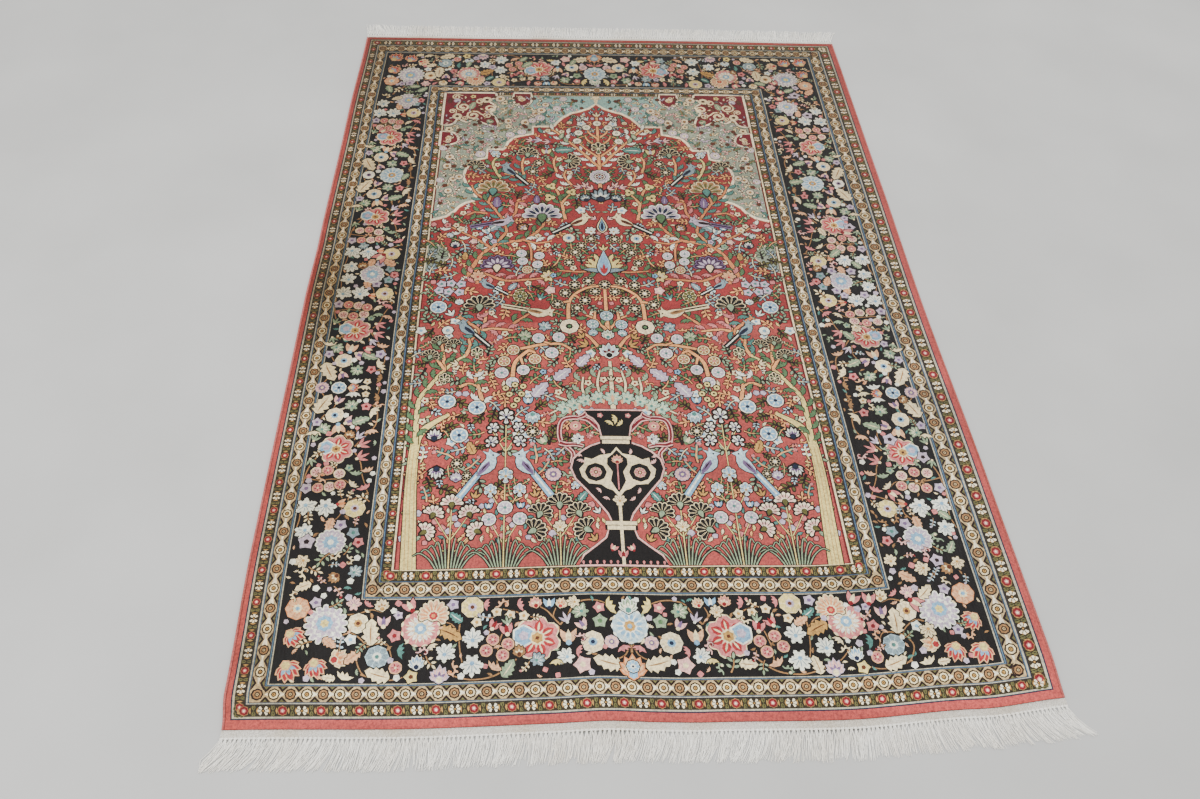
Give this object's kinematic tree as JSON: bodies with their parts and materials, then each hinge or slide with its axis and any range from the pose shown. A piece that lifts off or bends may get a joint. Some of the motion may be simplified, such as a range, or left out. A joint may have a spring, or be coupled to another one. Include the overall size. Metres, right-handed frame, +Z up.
{
  "type": "kashmir silk rug",
  "caption": "Hand-knotted silk rug lying flat, with a salmon-red arched field, a dark floral border, overcast sides and a cream knotted fringe at both ends.",
  "frame": {"origin": "on the floor, under the middle of the whole rug, fringes included", "axes": "+Z up, +Y along the rug's length towards the arch's point, +X to the right seen from the vase end"},
  "size_m": [1.2978, 1.9264, 0.0088],
  "materials": {
    "silk_pile": "low silk pile, soft sheen",
    "overcast_edge": "wrapped yarn, matt",
    "warp_fringe": "plied cream yarn, matt"
  },
  "bodies": {
    "root": {"rug": "silk_pile", "selvedge_left": "overcast_edge", "selvedge_right": "overcast_edge", "fringe_near": "warp_fringe", "fringe_far": "warp_fringe"}
  },
  "joints": []
}
